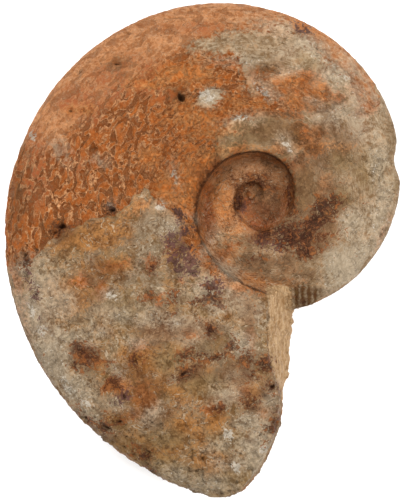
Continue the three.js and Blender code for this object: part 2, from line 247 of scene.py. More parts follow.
# Spots and patches: middle x and y, half length and half width in pixels, and turn in degrees, if any.
SPOTS = {
    # Dark: brown stains; those over the hollows below also darken them, painted shade with their dirt.
    "dark": [
        (330, 205, 11, 8, 20), (325, 216, 8, 5, 60), (310, 229, 12, 8, 30), (299, 236, 7, 6),
        (304, 246, 10, 7, 20), (292, 244, 6, 5), (322, 240, 8, 3, 20), (110, 364, 5, 3),
        (209, 330, 7, 5, -40), (185, 354, 7, 5, -20), (213, 358, 10, 4, 5), (183, 373, 8, 4, 35),
        (232, 347, 4, 7, 10), (248, 361, 9, 5), (265, 363, 7, 5), (272, 388, 4, 5, 30), (264, 396, 4, 3),
        (275, 424, 4, 9, -20), (118, 421, 7, 5, 10), (106, 427, 7, 3, -15), (86, 418, 8, 3, -30),
        (62, 226, 6, 5), (54, 233, 5, 3, 20), (210, 297, 6, 5, 60), (217, 303, 6, 4, -30),
        (204, 300, 6, 2, 10), (148, 294, 4, 3), (174, 302, 3, 5), (154, 267, 3, 4), (136, 360, 3, 3),
        (142, 454, 8, 4), (258, 257, 5, 4), (251, 376, 4, 3), (266, 234, 9, 2.2, 18), (110, 209, 5, 4),
        (112, 384, 5, 6), (118, 418, 6, 3), (146, 470, 8, 3, -30), (326, 208, 14, 10, 30),
        (316, 224, 14, 9, 40), (302, 240, 14, 10, 20), (292, 236, 12, 7, 20), (310, 250, 10, 6, 10),
        (278, 232, 14, 3, 20), (266, 184, 9, 3, -8), (243, 190, 3, 8, 30), (236, 206, 2.5, 10, -10),
        (80, 350, 5, 6), (94, 358, 8, 5, -40), (84, 364, 5, 3), (252, 181, 13, 4, 4),
        (240, 188, 4, 7, 35), (268, 184, 10, 4, -20), (290, 190, 3, 14), (27, 262, 3, 2),
        (252, 402, 8, 4, 10), (221, 407, 5, 3, -20),
    ],
    "plum": [
        (180, 214, 5, 4, -40), (183, 231, 5, 5), (171, 241, 4, 5), (175, 259, 5, 5),
        (191, 272, 4, 7, 20), (180, 268, 5, 5), (214, 287, 8, 5, -30), (281, 243, 9, 6, 20),
        (287, 235, 9, 6, 30), (123, 397, 3, 5, -20), (304, 30, 5, 3.4, -20), (240, 207, 4, 11, -12),
        (262, 240, 8, 4, 10), (32, 284, 2.5, 10, 15), (184, 249, 6, 5), (188, 262, 7, 5, -50),
    ],
    "slate": [
        (91, 263, 6, 5), (112, 292, 6, 5), (126, 277, 7, 6, 20), (52, 356, 12, 16, 30),
        (62, 376, 14, 7, -50), (120, 366, 5, 7), (116, 376, 5, 6), (155, 412, 12, 6, 30),
        (150, 424, 8, 6), (222, 376, 14, 6, 10), (248, 420, 14, 7, 25), (208, 348, 10, 4),
        (196, 372, 10, 6), (170, 380, 8, 5), (230, 292, 8, 4), (140, 300, 8, 6), (180, 310, 7, 6),
        (262, 318, 5, 12), (74, 392, 12, 6, -50), (220, 308, 8, 6), (245, 350, 12, 8), (163, 317, 5, 4),
        (236, 462, 8, 6), (148, 264, 14, 30), (150, 226, 16, 12), (350, 262, 20, 24, 30),
        (356, 120, 10, 22), (112, 148, 10, 6), (90, 280, 8, 5), (340, 260, 20, 18, 30),
        (40, 345, 10, 14, 30), (210, 98, 12, 8), (322, 84, 6, 4), (344, 284, 16, 10, 30),
        (106, 296, 8, 6), (316, 84, 6, 4), (34, 302, 6, 10, 30),
    ],
    "ochre": [
        (98, 240, 30, 12, 10), (128, 232, 10, 10, 30), (104, 268, 26, 11, 8), (76, 284, 20, 10, 10),
        (103, 290, 8, 10), (72, 302, 24, 12, 20), (136, 366, 22, 16, -30), (120, 386, 16, 12, -15),
        (142, 396, 18, 22, 20), (128, 414, 20, 8, 15), (165, 408, 10, 8), (158, 332, 22, 7),
        (193, 334, 10, 6), (250, 342, 4, 10), (215, 418, 12, 14, 20), (262, 412, 9, 8),
        (200, 440, 6, 14, 10), (30, 250, 20, 8, 20), (185, 425, 14, 10, 20), (135, 445, 26, 10, -20),
        (110, 322, 10, 12), (172, 450, 20, 8, 20), (292, 88, 34, 18, -12), (306, 138, 19, 14, -10),
        (362, 96, 14, 12, 50), (240, 288, 36, 4, -8), (322, 238, 10, 4, 20), (228, 316, 6, 5),
        (205, 395, 16, 10), (178, 396, 14, 8), (150, 350, 14, 6), (100, 229, 42, 8, 12),
        (72, 240, 20, 8, 20), (60, 290, 16, 12), (155, 320, 22, 8), (160, 388, 12, 16),
        (245, 390, 20, 12), (206, 242, 5, 10, -30), (110, 462, 20, 6, -40), (100, 362, 8, 12),
        (205, 372, 14, 8), (212, 462, 26, 10, -10), (298, 168, 12, 5, -50), (322, 186, 10, 4, 70),
        (14, 262, 6, 8), (120, 470, 30, 5, -36), (250, 400, 10, 8),
    ],
    "rusty": [
        (280, 92, 15, 8, -12), (306, 92, 16, 9, -10), (302, 134, 12, 10, -10), (256, 107, 17, 4, 4),
        (325, 95, 7, 8, -30), (366, 108, 9, 5, 30), (80, 282, 9, 5, 10), (103, 290, 5, 7),
        (112, 386, 8, 8, -15), (146, 398, 13, 15, 20), (132, 414, 12, 4, 15), (152, 264, 5, 6),
        (193, 334, 5, 3), (250, 341, 2.4, 8), (265, 412, 5, 4), (174, 249, 6, 5), (186, 240, 6, 5),
        (206, 262, 7, 4, -50), (240, 288, 30, 3, -8), (288, 291, 12, 2, -6), (24, 318, 4, 12, 22),
        (18, 284, 3, 20, 16), (374, 262, 5, 20, -32), (386, 234, 4, 14, -18), (312, 150, 8, 6),
        (300, 158, 5, 7), (354, 84, 6, 6), (292, 112, 10, 3), (140, 344, 6, 4), (243, 392, 4, 4),
        (160, 300, 5, 5), (84, 352, 10, 9), (92, 360, 8, 5, -30), (114, 266, 8, 3, 8),
        (268, 72, 14, 8, 14), (262, 84, 7, 11, 10), (300, 80, 18, 7, 14), (288, 102, 24, 9, 4),
        (316, 108, 14, 6), (282, 115, 18, 4), (338, 100, 6, 6), (210, 408, 5, 4), (318, 136, 5, 8, -40),
    ],
    # Pale: whitish-grey crust; the patches at the lower-left and lower-right edges are also painted light,
    # where those edges turn from the lamps.
    "pale": [
        (268, 90, 12, 5, -42), (210, 101, 7, 6, 40), (234, 121, 10, 4, 10), (247, 118, 8, 3),
        (288, 146, 8, 4, -52), (314, 102, 6, 3, -20), (355, 116, 5, 3, -60), (112, 296, 6, 4),
        (214, 307, 7, 6, -30), (86, 398, 8, 9, -40), (68, 386, 14, 6, -50), (57, 376, 9, 4, -52),
        (154, 412, 9, 5, 30), (250, 420, 13, 6, 25), (262, 434, 10, 9), (266, 448, 7, 4, 30),
        (222, 444, 10, 5, 20), (236, 466, 8, 4, -30), (120, 406, 8, 4, -20), (96, 424, 12, 3, -20),
        (112, 207, 2.2, 2.6), (161, 207, 1.8, 2), (175, 176, 1.4, 4, 10), (345, 270, 18, 22, 30),
        (352, 224, 12, 14), (116, 367, 4, 9, 20), (32, 298, 6, 6), (240, 344, 12, 12, 20),
        (70, 338, 22, 8, -10), (46, 264, 14, 4, -20), (328, 285, 14, 5, 30), (225, 394, 10, 6),
        (285, 72, 14, 4, 20), (330, 116, 12, 5), (240, 60, 20, 4), (188, 215, 6, 3, -30),
        (176, 322, 8, 6), (130, 342, 10, 4), (340, 110, 8, 8), (25, 266, 12, 9, 20),
        (30, 312, 14, 26, 20), (60, 302, 18, 14), (50, 356, 20, 22, 30), (76, 386, 22, 12, -45),
        (84, 412, 14, 9, -40), (45, 284, 18, 16), (381, 215, 11, 46, -12), (366, 256, 13, 24, -30),
        (350, 277, 18, 12, 30), (378, 160, 9, 22, -4), (276, 28, 24, 8, -14), (312, 46, 24, 11, -38),
        (340, 74, 12, 16, 40), (358, 96, 9, 18, 20), (270, 402, 7, 16), (254, 460, 14, 14),
        (266, 438, 8, 12, -10), (210, 484, 24, 8), (176, 474, 16, 7, -20), (225, 270, 14, 8, -40),
        (208, 282, 20, 7, -20), (118, 316, 16, 8, -10), (146, 318, 12, 8), (205, 250, 4, 14, -30),
        (205, 290, 16, 12), (34, 262, 8, 6), (64, 396, 14, 6, -50), (96, 420, 12, 6, -40),
        (246, 446, 10, 8), (350, 288, 8, 6, 30), (358, 270, 12, 10, 30), (225, 464, 10, 5),
        (260, 450, 16, 14), (36, 330, 8, 12, 30), (60, 372, 10, 10), (264, 436, 12, 10),
        (250, 462, 12, 10), (36, 318, 10, 10, 30), (262, 424, 10, 8), (354, 68, 7, 22, 38),
        (376, 96, 6, 14, 24), (28, 262, 6, 5), (78, 346, 6, 4), (172, 226, 12, 9), (100, 332, 10, 6),
        (274, 402, 5, 14),
    ],
    "pink": [
        (45, 330, 22, 12, -30), (235, 300, 24, 12), (230, 174, 20, 10, 8), (262, 168, 24, 9, -6),
        (160, 330, 16, 10), (225, 395, 22, 12), (325, 72, 14, 10, -20), (255, 440, 14, 10),
        (330, 118, 14, 10), (290, 52, 20, 8, 20), (190, 330, 30, 16), (250, 312, 14, 18),
        (240, 380, 16, 10), (360, 130, 16, 14), (44, 312, 12, 14), (60, 150, 8, 12, 24),
        (100, 160, 8, 6),
    ],
    "flush": [
        (150, 90, 22, 9, -20), (150, 70, 20, 9, -30), (90, 108, 16, 20, 30), (36, 172, 12, 26, 20),
        (120, 90, 14, 12), (75, 165, 12, 10), (200, 28, 24, 5), (72, 98, 20, 12, 38),
        (38, 150, 9, 22, 20), (104, 78, 24, 10, 28), (34, 190, 10, 18, 12),
    ],
    "olive": [
        (255, 130, 36, 13, 4), (232, 147, 22, 9, 20), (270, 66, 14, 7, -30), (228, 152, 16, 6, 20),
        (292, 138, 9, 14), (394, 145, 7, 26, -6), (393, 178, 6, 16, 8), (305, 182, 10, 14),
        (370, 170, 16, 20), (100, 440, 28, 8, -42), (180, 475, 56, 12, -30), (130, 445, 24, 10, -20),
        (236, 480, 24, 14, 20), (270, 196, 12, 14), (205, 385, 22, 14), (310, 60, 10, 7, -20),
        (165, 440, 20, 10), (128, 318, 24, 12), (34, 372, 7, 18, 32), (284, 158, 16, 6, 30),
        (120, 300, 14, 10), (340, 160, 12, 12), (150, 460, 30, 10), (262, 152, 26, 5, 4),
        (230, 440, 14, 8), (170, 360, 14, 10), (215, 345, 12, 6), (300, 190, 14, 20), (340, 200, 12, 12),
        (262, 268, 30, 6), (160, 400, 10, 8),
    ],
    # Glow: light orange-tan; on the inner whorl's lit crest and the shoulder beside the umbilicus it is
    # painted light.
    "glow": [
        (221, 203, 12, 26, 6), (240, 227, 5, 17, -38), (198, 244, 6, 24, -24), (166, 190, 12, 18),
        (184, 200, 10, 28, 10), (206, 160, 11, 6, 40), (219, 260, 5, 22, -48), (120, 387, 7, 6),
        (262, 281, 22, 3, -8), (308, 28, 28, 6, -20), (226, 264, 7, 14, -45), (250, 150, 30, 1.6, 2),
        (198, 60, 8, 4), (150, 155, 10, 8), (191, 182, 7, 26, 12), (216, 272, 20, 5, -40),
        (140, 207, 9, 5, 30), (208, 240, 4, 12, -30), (284, 340, 4, 34), (270, 28, 18, 5, -14),
        (70, 109, 6, 4), (86, 109, 6, 4), (216, 128, 20, 6, 10), (182, 74, 30, 10), (150, 84, 16, 6),
        (184, 106, 10, 5), (234, 104, 8, 5), (340, 52, 6, 12, 44), (200, 176, 5, 20, 14),
        (186, 226, 4, 10), (176, 216, 6, 4), (196, 176, 7, 24, 16), (202, 116, 30, 8, 4),
        (206, 246, 5, 12, -30), (284, 80, 16, 5, 14), (300, 100, 12, 4, 4), (260, 104, 10, 5),
        (318, 90, 6, 6),
    ],
    # Wall: painted shade, the dark crescent where the umbilical wall lies in shadow, over its red-brown.
    "wall": [
        (199, 212, 5, 28, 2), (204, 186, 6, 18, 24), (214, 170, 10, 6, 45), (232, 159, 15, 4, 24),
        (258, 155, 18, 3, 2), (280, 162, 12, 3, -34), (292, 186, 2.6, 20, -4), (246, 184, 11, 3, 20),
        (239, 192, 3, 10, 20), (272, 190, 6, 2, -40), (205, 240, 5, 16, -24), (219, 259, 5, 18, -44),
    ],
    # Umber: dark olive-brown film; the thin spots just inside the rim and those over the coil are painted
    # shade.
    "umber": [
        (272, 196, 12, 22, 6), (300, 176, 16, 30, 8), (304, 214, 16, 20, 20), (296, 228, 26, 12, 30),
        (286, 146, 16, 10, -30), (262, 240, 22, 8, 4), (254, 262, 22, 10), (284, 262, 18, 10, 10),
        (324, 190, 12, 22, -10), (326, 226, 14, 12, 40), (318, 150, 14, 12), (150, 398, 14, 16, 20),
        (86, 356, 18, 13, -20), (240, 366, 26, 12, 6), (190, 372, 18, 8, 20), (92, 424, 26, 7, -32),
        (270, 392, 12, 14), (214, 334, 18, 9, -30), (104, 272, 14, 10), (212, 300, 10, 12),
        (180, 240, 10, 22, -6), (180, 98, 10, 8, -40), (120, 64, 8, 5), (60, 232, 14, 10),
        (22, 260, 10, 8), (275, 422, 10, 16, -20), (160, 328, 30, 16), (136, 386, 20, 24, 20),
        (152, 412, 20, 14), (310, 240, 26, 20, 20), (270, 200, 13, 18), (222, 169, 14, 4, 42),
        (244, 160, 16, 4, 12), (270, 163, 14, 4, -22), (284, 174, 4, 10, -26), (280, 130, 14, 12),
        (330, 130, 20, 14), (340, 145, 16, 12), (258, 190, 10, 10), (340, 209, 8, 8), (262, 256, 12, 6),
        (230, 266, 8, 5, -40), (276, 278, 22, 6, -10), (250, 322, 5, 22), (286, 150, 18, 8),
        (262, 192, 14, 14), (18, 200, 6, 20, 4), (306, 146, 14, 10), (264, 66, 16, 6),
        (270, 130, 26, 8, 6), (266, 208, 16, 12), (14, 190, 5, 30, 4), (20, 140, 4, 20, 20),
        (330, 110, 12, 5), (246, 375, 10, 12), (270, 262, 26, 8), (296, 272, 20, 6, -10),
        (284, 146, 18, 8, -10), (320, 166, 10, 8), (108, 294, 10, 6), (126, 412, 14, 8),
        (212, 182, 3, 16, 26), (250, 400, 10, 6), (256, 406, 12, 7), (222, 408, 9, 5, -20),
    ],
    "brick": [
        (262, 214, 22, 10, -6), (262, 226, 16, 6, -4), (276, 214, 6, 8), (246, 208, 7, 9),
        (207, 205, 5, 24, 4), (285, 200, 5, 16),
    ],
    "crystal": [
        (111, 206, 3.4, 3.2), (175, 176, 2, 4.4, 10), (33, 137, 3, 4, 20), (288, 147, 5, 3, -52),
        (204, 93, 4, 2.4), (236, 119, 5, 2.6, 8), (246, 118, 3, 2), (262, 92, 7, 2.4, -42),
        (345, 78, 3, 2.4), (161, 207, 2.6, 2.4), (112, 297, 3, 3), (236, 466, 4, 3, -30),
        (265, 449, 4, 2.4, 30), (219, 306, 3, 2.4), (42, 330, 4, 3), (68, 386, 7, 2.6, -48),
        (89, 404, 5, 3, -40), (32, 312, 3, 6, 20), (229, 438, 3, 6, 10), (210, 100, 3.4, 3, 30),
    ],
}

# Hollows and lumps of the upper flank: as spots, and how deep (or high, if negative) in mm.
HOLLOWS = [
    (181, 97, 7, 4.6, -45, 1.2), (117, 63, 5, 2, -12, 0.7), (128, 33, 4.5, 1.6, -10, 0.6),
    (190, 10, 7, 1.6, -8, 0.45), (79, 72, 4, 1.6, 20, 0.4), (121, 81, 5, 3, 30, 0.35),
    (70, 110, 4, 3, 0, 0.45), (84, 110, 4, 3, 0, 0.45), (93, 148, 7, 3.6, 15, 0.4),
    (112, 209, 4, 2.6, -20, 0.8), (62, 226, 5, 4, 0, 0.8), (54, 233, 5, 2.6, 20, 0.5),
    (36, 250, 4, 2, 40, 0.4), (24, 255, 4, 2.4, 40, 0.45), (27, 263, 4, 2, 30, 0.4),
    (33, 135, 3, 2, 40, 0.35), (331, 60, 2.2, 1.8, 0, 0.4), (318, 49, 2, 1.6, 0, 0.4),
    (363, 157, 2, 1.6, 0, 0.3), (372, 158, 1.8, 1.5, 0, 0.3), (388, 207, 2, 2, 0, 0.35),
    (353, 225, 2.4, 2, 0, 0.3), (304, 30, 6, 3.6, -20, 0.3), (267, 330, 2.6, 6, 0, 0.4),
    (271, 350, 2, 12, 0, 0.3), (272, 364, 4, 3.4, 0, 0.5), (273, 386, 4, 3.6, 30, 0.6),
    (264, 396, 3, 2, 0, 0.35), (276, 424, 3, 7, -20, 0.4), (183, 374, 6, 2.6, 35, 0.45),
    (213, 358, 9, 2, 5, 0.35), (209, 330, 5, 3, -40, 0.3), (136, 361, 2, 2, 0, 0.3),
    (124, 398, 2.4, 4, -20, 0.4), (86, 419, 8, 2.4, -30, 0.5), (107, 428, 6, 2.4, -15, 0.5),
    (119, 422, 5, 3, 10, 0.45), (85, 355, 12, 10, 0, 0.22), (251, 376, 3, 1.6, 0, 0.3),
    (238, 206, 3, 9, -12, 0.25), (266, 234, 8, 1.5, 18, 0.25), (230, 282, 4, 3, -30, 0.3),
    (245, 285, 5, 2, -30, 0.3), (252, 403, 6, 2.4, 10, 0.3), (117, 57, 5, 4, 0, -0.35),
    (189, 97, 3, 5, -20, -0.3), (110, 206, 3, 3, 0, -0.25), (203, 470, 2, 24, 0, 0.3),
    (330, 206, 8, 6, 0, 0.12), (300, 242, 10, 6, 20, 0.12), (288, 150, 2, 3, 0, -0.2),
    (20, 262, 5, 2.4, 20, -0.3), (142, 449, 7, 3, -20, 0.3), (187, 471, 7, 3, -25, 0.3),
    (162, 462, 5, 3, -30, 0.25), (218, 482, 6, 2.4, -10, 0.3),
]
CRACKS = [
    [(330, 147), (338, 144), (348, 141)],
    [(104, 328), (107, 340), (110, 352)],
    [(152, 312), (154, 320), (149, 330)],
    [(144, 348), (148, 358), (146, 372)],
    [(240, 290), (258, 300), (266, 312), (268, 330), (270, 345), (271, 362)],
    [(60, 252), (90, 243), (110, 240)],
    [
        (240, 206), (239, 196), (244, 187), (253, 182), (264, 183), (273, 186), (279, 194), (281, 204),
        (279, 213),
    ],
    [(246, 197), (250, 201), (256, 199), (258, 193)],
]


def tone(red, green, blue):
    """The colour that shows on a screen as this, out of 255, where the flank lies in the full light."""
    parts = (part / 255 for part in (red, green, blue))
    linear = (part / 12.92 if part <= 0.04045 else ((part + 0.055) / 1.055) ** 2.4 for part in parts)
    return tuple(part / FLANK_LIGHT for part in linear)


def smoothstep(value, low, high):
    share = np.clip((value - low) / (high - low), 0, 1)
    return share * share * (3 - 2 * share)


def lerp(start, end, share):
    return start + (end - start) * share


def curve_through(table, column=1):
    """A smooth curve through a table's rows, as a function of their first column, which rises."""
    places = np.array([row[0] for row in table], float)
    values = np.array([row[column] for row in table], float)
    steps = np.diff(values) / np.diff(places)
    slopes = np.concatenate([steps[:1], (steps[:-1] + steps[1:]) / 2, steps[-1:]])

    def curve(place):
        first = np.clip(np.searchsorted(places, place, side="right") - 1, 0, len(places) - 2)
        width = places[first + 1] - places[first]
        share = np.clip((place - places[first]) / width, 0, 1)
        rise = lerp(values[first], values[first + 1], smoothstep(share, 0, 1))
        bend = share * (1 - share) * ((1 - share) * slopes[first] - share * slopes[first + 1])
        return rise + bend * width

    return curve


rim_radius = curve_through(RIM)
ledge_angle = curve_through(LEDGE)
break_reach = curve_through(BREAK)
break_slope = curve_through(BREAK, 2)


# Natural unevenness. The noise has a slope for each cell, found by mixing the cell's three numbers.

GRADIENTS = np.random.default_rng(11).normal(size=(256, 3))
GRADIENTS /= np.linalg.norm(GRADIENTS, axis=1, keepdims=True)
CELL_MIXERS = np.array([73856093, 19349663, 83492791])
MIX_SHIFT = 9
SEED_SHIFT = 17.3
NOISE_GAIN = 1.8


def noise(points, size, seed=0):
    """Smooth noise between about -1 and 1 at points in mm, with one rise or dip to each size."""
    spots = points / size + SEED_SHIFT * seed
    cells = np.floor(spots).astype(np.int64)
    parts = spots - cells
    ease = parts**3 * (parts * (parts * 6 - 15) + 10)
    total = np.zeros(len(points))
    for corner in itertools.product((0, 1), repeat=3):
        mixed = np.bitwise_xor.reduce((cells + corner) * CELL_MIXERS, axis=1)
        slopes = GRADIENTS[(mixed ^ (mixed >> MIX_SHIFT)) % len(GRADIENTS)]
        weight = np.prod(np.where(corner, ease, 1 - ease), axis=1)
        total += weight * np.einsum("ij,ij->i", slopes, parts - corner)
    return NOISE_GAIN * total


def wander(points, size, seeds):
    """Noise from each of the seeds, side by side, to shift places by."""
    return np.column_stack([noise(points, size, seed) for seed in seeds])


def clouds(points, size, seed=0, layers=3, fading=0.5):
    """Noise in layers, each half the size of the one before and weaker by its fading."""
    return sum(fading**layer * noise(points, size / 2**layer, seed + layer) for layer in range(layers))


def swell(x, y):
    """Slow rise and fall of a weathered flank, between about -1 and 1: waves of unlike lengths."""
    return (
        0.5 * np.sin(0.55 * x + 0.21 * y + 1.3) * np.cos(0.47 * y - 0.16 * x)
        + 0.3 * np.sin(1.13 * x - 0.74 * y + 0.4)
        + 0.2 * np.sin(1.31 * x + 1.9 * y + 2.1)
    )


def grit(a, b):
    """Short roughness of broken rock, between about -1 and 1."""
    crossed = np.sin(2.1 * a + 1.3 * b) * np.sin(2.9 * b - 0.9 * a + 0.7)
    return 0.6 * crossed + 0.4 * np.sin(4.3 * a - 2.6 * b + 1.9)


# The shell's form

def venter_radius(sizes, angle):
    spiral = sizes.outer_radius * MM * np.exp(sizes.growth * np.radians(angle))
    return spiral - BITE_DEPTH * np.exp(-(((angle - BITE_ANGLE) / BITE_SPREAD) ** 2))


def chipped_radius(sizes, angle):
    """How far out the shell still reaches where its edge is chipped away, never in to the rim."""
    full = venter_radius(sizes, angle)
    chipped = smoothstep(angle, CHIPS_FROM, CHIPS_FROM + CHIPS_RAMP)
    loss = CHIPS_DEPTH + CHIPS_GRIT * grit(0.5 * angle, 1)
    rounded = ROUNDING * np.maximum(0, angle - ROUNDED_FROM) ** 2
    return np.maximum(lerp(rim_radius(angle), full, CHIPS_LEAVING), full - loss * chipped - rounded)


def flank_height(across):
    crown = (1 - np.clip(across, 0, 1) ** FLANK_POWER) ** FLANK_ROUNDNESS
    return crown * (1 - SHOULDER_DROP * np.exp(-across / SHOULDER_REACH))


def half_section(fraction):
    """Half a whorl's section, from its outer edge (0) over the flank and down the wall (1)."""
    on_flank = fraction <= FLANK_SHARE
    across = 1 - np.clip(fraction / FLANK_SHARE, 0, 1) ** STEP_CROWDING
    down = np.clip((fraction - FLANK_SHARE) / (1 - FLANK_SHARE), 0, 1)
    height = np.where(on_flank, flank_height(across), (1 - SHOULDER_DROP) * (1 - down))
    return np.where(on_flank, across, -WALL_REACH * down**WALL_CURVE), height


def weathering(sizes, angle, across, x, y, side):
    """Height that weathering adds to a flank. The underside is read from another place."""
    place = np.clip(across, 0, 1)
    body = smoothstep(angle - ledge_angle(place), -LEDGE_SPREAD, LEDGE_SPREAD)
    offset = np.where(side > 0, 0, UNDERSIDE_OFFSET)
    most = lerp(SWELL_SUTURED, SWELL_BODY, body) * lerp(SWELL_AT_RIM, 1, place)
    size = np.clip(venter_radius(sizes, angle) / (sizes.outer_radius * MM), 0, 1)
    return size * most * swell(x + offset, y - offset)


def lean_height(sizes, x, y):
    """Height of the shell's middle plane as it lies."""
    return sizes.axis_height * MM + LEAN_RIGHT * (x - AXIS[0]) + LEAN_ALONG * (y - AXIS[1])


def shell_points(sizes, angle, across, height, side):
    rim = rim_radius(angle)
    full = rim + across * (venter_radius(sizes, angle) - rim)
    radius = np.minimum(full, chipped_radius(sizes, angle))
    x = AXIS[0] + radius * np.cos(np.radians(angle))
    y = AXIS[1] + radius * np.sin(np.radians(angle))
    half_width = sizes.half_width * venter_radius(sizes, angle)
    rise = height * (half_width + weathering(sizes, angle, across, x, y, side))
    return np.column_stack([x, y, side * rise + lean_height(sizes, x, y)])


def break_face(y, z):
    """How far right the broken face lies at each place of it."""
    above = np.clip((z - BREAK_LEVEL) / (BREAK_TOP - BREAK_LEVEL), 0, 2)
    below = np.clip((BREAK_LEVEL - z) / BREAK_LEVEL, 0, 2)
    back = break_slope(y) * above + BREAK_UNDERCUT * below**UNDERCUT_CURVE
    return break_reach(y) - back + BREAK_GRIT * grit(0.6 * y, z)


# Mesh work

def get_points(mesh):
    flat = np.empty(3 * len(mesh.vertices))
    mesh.vertices.foreach_get("co", flat)
    return flat.reshape(-1, 3)


def set_points(mesh, points):
    mesh.vertices.foreach_set("co", np.ascontiguousarray(points).ravel())
    mesh.update()


def get_normals(mesh):
    flat = np.empty(3 * len(mesh.vertices))
    mesh.vertex_normals.foreach_get("vector", flat)
    return flat.reshape(-1, 3)


def sheet(columns, rows):
    """A flat grid from 0 to 1 each way, as a bmesh."""
    bm = bmesh.new()
    shift = Matrix.Translation((0.5, 0.5, 0))
    bmesh.ops.create_grid(bm, x_segments=columns, y_segments=rows, size=0.5, matrix=shift)
    return bm


def as_object(bm, name):
    mesh = bpy.data.meshes.new(name)
    bm.to_mesh(mesh)
    bm.free()
    piece = bpy.data.objects.new(name, mesh)
    bpy.context.scene.collection.objects.link(piece)
    return piece


def bend(bm, placed):
    """Moves each vertex of a sheet to where the function puts its place on the sheet."""
    flat = np.array([vertex.co[:2] for vertex in bm.verts])
    for vertex, point in zip(bm.verts, placed(flat[:, 0], flat[:, 1])):
        vertex.co = point


def apply_modifier(piece, kind, **settings):
    """Adds a modifier, makes its result the piece's mesh and removes it."""
    modifier = piece.modifiers.new(kind.title(), kind)
    for name, value in settings.items():
        setattr(modifier, name, value)
    shaped = bpy.data.meshes.new_from_object(piece.evaluated_get(bpy.context.evaluated_depsgraph_get()))
    piece.modifiers.clear()
    old = piece.data
    piece.data = shaped
    bpy.data.meshes.remove(old)


def whorl(sizes, start, end):
    """A stretch of the spiral tube: a sheet bent round, closed along the wall and at both ends."""
    steps = int((end - start) / sizes.step_angle)
    bm = sheet(steps, sizes.section_steps)

    def placed(along, around):
        turn = 2 * around - 1
        across, height = half_section(np.abs(turn))
        return shell_points(sizes, lerp(start, end, along), across, height, np.where(turn < 0, -1.0, 1.0))

    bend(bm, placed)
    bmesh.ops.remove_doubles(bm, verts=bm.verts, dist=MERGE_DISTANCE)
    bmesh.ops.holes_fill(bm, edges=bm.edges, sides=0)
    bmesh.ops.triangulate(bm, faces=[face for face in bm.faces if len(face.verts) > 4])
    bmesh.ops.recalc_face_normals(bm, faces=bm.faces)
    return as_object(bm, "whorl")


def broken_off():
    """What the break took away: a block whose near side is the sloping broken face."""
    bm = sheet(BLOCK_ROWS, BLOCK_LAYERS)

    def placed(along, up):
        y = lerp(BREAK[0][0], BREAK[-1][0], along)
        z = lerp(BLOCK_BOTTOM, BLOCK_TOP, up)
        return np.column_stack([break_face(y, z), y, z])

    bend(bm, placed)
    pulled = bmesh.ops.extrude_face_region(bm, geom=bm.faces[:], use_keep_orig=True)
    for part in pulled["geom"]:
        if isinstance(part, bmesh.types.BMVert):
            part.co.x = BLOCK_RIGHT
    bmesh.ops.recalc_face_normals(bm, faces=bm.faces)
    return as_object(bm, "broken off")


def nucleus(sizes):
    """The small round first chamber at the middle of the coil."""
    bm = bmesh.new()
    middle = Matrix.Translation((*AXIS, sizes.axis_height * MM))
    bmesh.ops.create_icosphere(bm, subdivisions=4, radius=sizes.nucleus_radius * MM, matrix=middle)
    return as_object(bm, "nucleus")


def joined(pieces):
    """One object with the meshes of all the pieces, which are removed."""
    bm = bmesh.new()
    for piece in pieces:
        bm.from_mesh(piece.data)
        bpy.data.objects.remove(piece)
    return as_object(bm, "ammonite stone")


# Where each finish lies

def photo_places(points):
    """Where the photograph shows each point, in its pixels."""
    nearer = VIEW_DISTANCE / (VIEW_DISTANCE - (points[:, 2] - VIEW_LEVEL))
    right = PHOTO_WIDTH / 2 + (points[:, 0] - VIEW_MIDDLE[0]) * nearer / PIXEL
    down = PHOTO_HEIGHT / 2 - (points[:, 1] - VIEW_MIDDLE[1]) * nearer / PIXEL
    return np.column_stack([right, down])


def line_distance(places, start, end):
    """Distance of each place from a straight line between two others."""
    start, end = np.array(start, float), np.array(end, float)
    way = end - start
    share = np.clip((places - start) @ way / (way @ way), 0, 1)
    return np.linalg.norm(places - start - share[:, None] * way, axis=1)


def zone_depth(places, corners):
    """How deep inside a closed outline each place lies, and below zero outside it."""
    inside = np.zeros(len(places), bool)
    nearest = np.full(len(places), np.inf)
    for start, end in zip(corners, corners[1:] + corners[:1]):
        nearest = np.minimum(nearest, line_distance(places, start, end))
        if start[1] != end[1]:
            beside = (start[1] > places[:, 1]) != (end[1] > places[:, 1])
            slant = (end[0] - start[0]) / (end[1] - start[1])
            inside ^= beside & (places[:, 0] < start[0] + (places[:, 1] - start[1]) * slant)
    return np.where(inside, nearest, -nearest)


def spot_depth(places, spot):
    """How deep inside an oval spot each place lies, and below zero outside it."""
    x, y, length, width, *turned = spot
    turn = math.radians(turned[0]) if turned else 0.0
    across, down = places[:, 0] - x, places[:, 1] - y
    along = across * math.cos(turn) - down * math.sin(turn)
    aside = across * math.sin(turn) + down * math.cos(turn)
    return (1 - np.hypot(along / length, aside / width)) * min(length, width)


def crack_distance(places):
    """How far each place is from the nearest crack, in pixels."""
    nearest = np.full(len(places), np.inf)
    for crack in CRACKS:
        for start, end in zip(crack, crack[1:]):
            nearest = np.minimum(nearest, line_distance(places, start, end))
    return nearest


def ragged(places, points):
    """The same places shifted a few pixels by noise, so that edges drawn on them wander."""
    return places + 3.0 * wander(points, 1.7, (1, 2)) + 1.3 * wander(points, 0.6, (3, 4))


def spiral_places(sizes, points):
    """Angle along the last turn, place from rim (0) to outer edge (1), and distance from the axis."""
    right, along = points[:, 0] - AXIS[0], points[:, 1] - AXIS[1]
    angle = np.degrees(np.arctan2(along, right))
    angle = np.where(angle < LAST_TURN, angle + 360, angle)
    rim = rim_radius(angle)
    radius = np.hypot(right, along)
    return angle, (radius - rim) / (venter_radius(sizes, angle) - rim), radius


